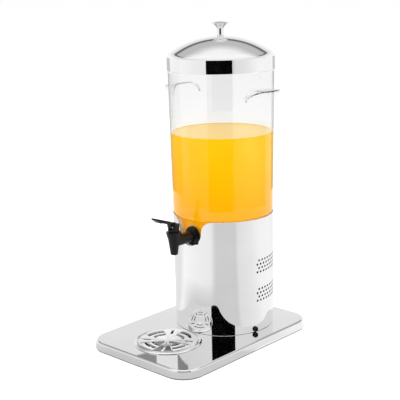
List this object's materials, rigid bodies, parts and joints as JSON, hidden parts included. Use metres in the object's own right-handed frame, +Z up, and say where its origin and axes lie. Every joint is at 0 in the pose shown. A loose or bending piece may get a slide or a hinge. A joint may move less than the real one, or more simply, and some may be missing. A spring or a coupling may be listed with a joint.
{
  "type": "beverage dispenser",
  "caption": "Chilled beverage dispenser: clear round container with domed lid, side grips and lever tap, on a vented steel tower and a long tray with a drip cup.",
  "frame": {"origin": "centre of the tray's footprint at the soles of the feet", "axes": "+Z up; the tap faces -Y; the cord gland and vents are on the +X side"},
  "size_m": [0.262, 0.372, 0.6065],
  "materials": {
    "mirror_steel": "mirror-polished stainless steel",
    "zinc_steel": "plain zinc-coated sheet",
    "plain_steel": "plain turned stainless steel",
    "brass": "turned",
    "aluminium": "milled",
    "ceramic": "unglazed ceramic",
    "liner_plastic": "moulded, matt",
    "clear_plastic": "clear, polished",
    "black_plastic": "fine satin moulding",
    "rubber": "matt",
    "silicone": "milky, matt"
  },
  "bodies": {
    "base": {"base_tray": "mirror_steel", "bottom_cover": "zinc_steel", "tower_shell": "mirror_steel", "tower_base_ring": "zinc_steel", "deck_plate": "zinc_steel", "insulation_liner": "liner_plastic", "cold_plate": "aluminium", "thermoelectric_tile": "ceramic", "heat_sink": "aluminium", "fan_frame": "black_plastic", "power_supply": "zinc_steel", "cord_gland": "black_plastic", "switch_bezel": "black_plastic", "foot_front_left": "rubber", "foot_screw_front_left": "plain_steel", "tray_post_front_left": "brass", "tower_screw_front_left": "plain_steel", "foot_front_right": "rubber", "foot_screw_front_right": "plain_steel", "tray_post_front_right": "brass", "tower_screw_front_right": "plain_steel", "foot_rear_left": "rubber", "foot_screw_rear_left": "plain_steel", "tray_post_rear_left": "brass", "tower_screw_rear_left": "plain_steel", "foot_rear_right": "rubber", "foot_screw_rear_right": "plain_steel", "tray_post_rear_right": "brass", "tower_screw_rear_right": "plain_steel"},
    "fan": {"fan_rotor": "black_plastic"},
    "switch": {"switch_rocker": "black_plastic"},
    "drip_cup": {"drip_cup": "mirror_steel"},
    "drip_grille": {"drip_grille": "mirror_steel", "grille_leg_rear_right": "mirror_steel", "grille_leg_rear_left": "mirror_steel", "grille_leg_front_left": "mirror_steel", "grille_leg_front_right": "mirror_steel"},
    "container": {"container": "clear_plastic", "grip_right": "clear_plastic", "grip_left": "clear_plastic", "tap_body": "black_plastic", "tap_gasket_outer": "rubber", "tap_gasket_inner": "rubber", "tap_nut": "black_plastic", "tap_bonnet": "black_plastic", "lever_pin": "plain_steel", "tap_spring": "plain_steel"},
    "tap_lever": {"tap_lever": "black_plastic"},
    "tap_stem": {"tap_stem": "plain_steel", "tap_seal": "rubber"},
    "lid": {"lid": "mirror_steel", "lid_seal": "silicone", "lid_knob": "mirror_steel", "knob_screw": "plain_steel"}
  },
  "joints": [
    {"name": "container_lift", "type": "slide", "parent": "base", "child": "container", "axis": [0, 0, 1], "range_m": [0, 0.12]},
    {"name": "lid_lift", "type": "slide", "parent": "container", "child": "lid", "axis": [0, 0, 1], "range_m": [0, 0.06]},
    {"name": "tap_lever_press", "type": "hinge", "parent": "container", "child": "tap_lever", "pos_m": [0, -0.0805, 0.2395], "axis": [1, 0, 0], "range_deg": [0, 18], "stiffness_Nm_per_rad": 0.05, "springref_deg": -11.46},
    {"name": "tap_stem_lift", "type": "slide", "parent": "container", "child": "tap_stem", "axis": [0, 0, 1], "range_m": [0, 0.003], "deforming": ["tap_spring"]},
    {"name": "drip_cup_lift", "type": "slide", "parent": "base", "child": "drip_cup", "axis": [0, 0, 1], "range_m": [0, 0.05]},
    {"name": "drip_grille_lift", "type": "slide", "parent": "drip_cup", "child": "drip_grille", "axis": [0, 0, 1], "range_m": [0, 0.05]},
    {"name": "fan_spin", "type": "hinge", "parent": "base", "child": "fan", "pos_m": [0, 0.067, 0.115], "axis": [0, 0, 1], "continuous": true},
    {"name": "switch_rock", "type": "hinge", "parent": "base", "child": "switch", "pos_m": [0, 0.164, 0.068], "axis": [1, 0, 0], "range_deg": [0, 20]}
  ],
  "couplings": [
    {"joint": "tap_stem_lift", "follows": "tap_lever_press", "m_per_rad": 0.0085}
  ]
}
